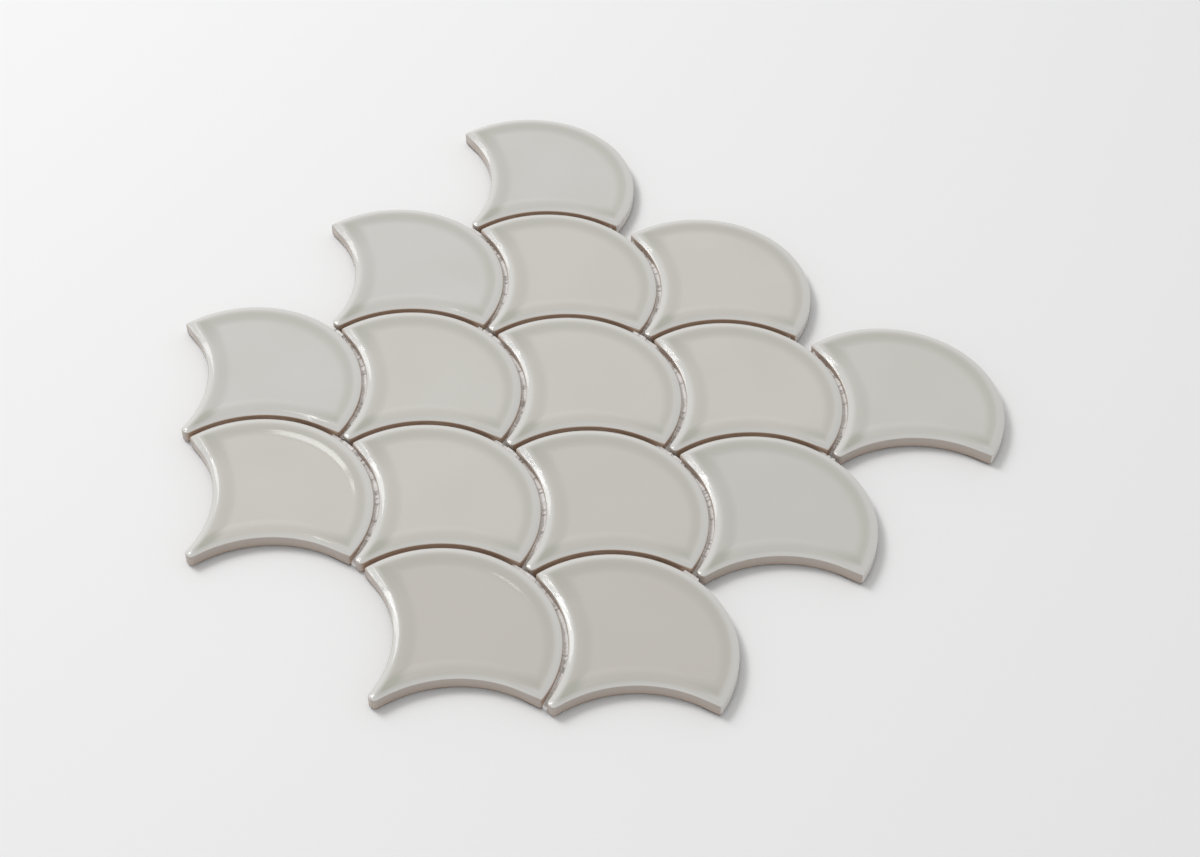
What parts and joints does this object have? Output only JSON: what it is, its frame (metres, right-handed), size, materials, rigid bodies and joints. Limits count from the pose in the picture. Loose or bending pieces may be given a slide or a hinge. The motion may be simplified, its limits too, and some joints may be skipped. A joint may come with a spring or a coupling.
{
  "type": "fish scale mosaic tile sheet",
  "caption": "Sheet of glazed ceramic fish scale tiles with dished faces and raised rims, laid in offset rows on a backing net for bedding on a wall or floor.",
  "frame": {"origin": "under the middle of the sheet's outline, on the back of the net, which is the face that is bedded", "axes": "+Z out of the glazed faces, +Y from the tips of the scales to their domes, +X along the rows"},
  "size_m": [0.263, 0.2596, 0.006],
  "materials": {
    "glaze": "gloss",
    "net": "woven glass fibre net, matt"
  },
  "bodies": {
    "root": {"backing_net": "net", "tile_row1_1": "glaze", "tile_row1_2": "glaze", "tile_row2_1": "glaze", "tile_row2_2": "glaze", "tile_row2_3": "glaze", "tile_row3_1": "glaze", "tile_row3_2": "glaze", "tile_row4_1": "glaze", "tile_row4_2": "glaze", "tile_row4_3": "glaze", "tile_row5_1": "glaze", "tile_row5_2": "glaze", "tile_row6_1": "glaze", "tile_row6_2": "glaze", "tile_row6_3": "glaze"}
  },
  "joints": []
}
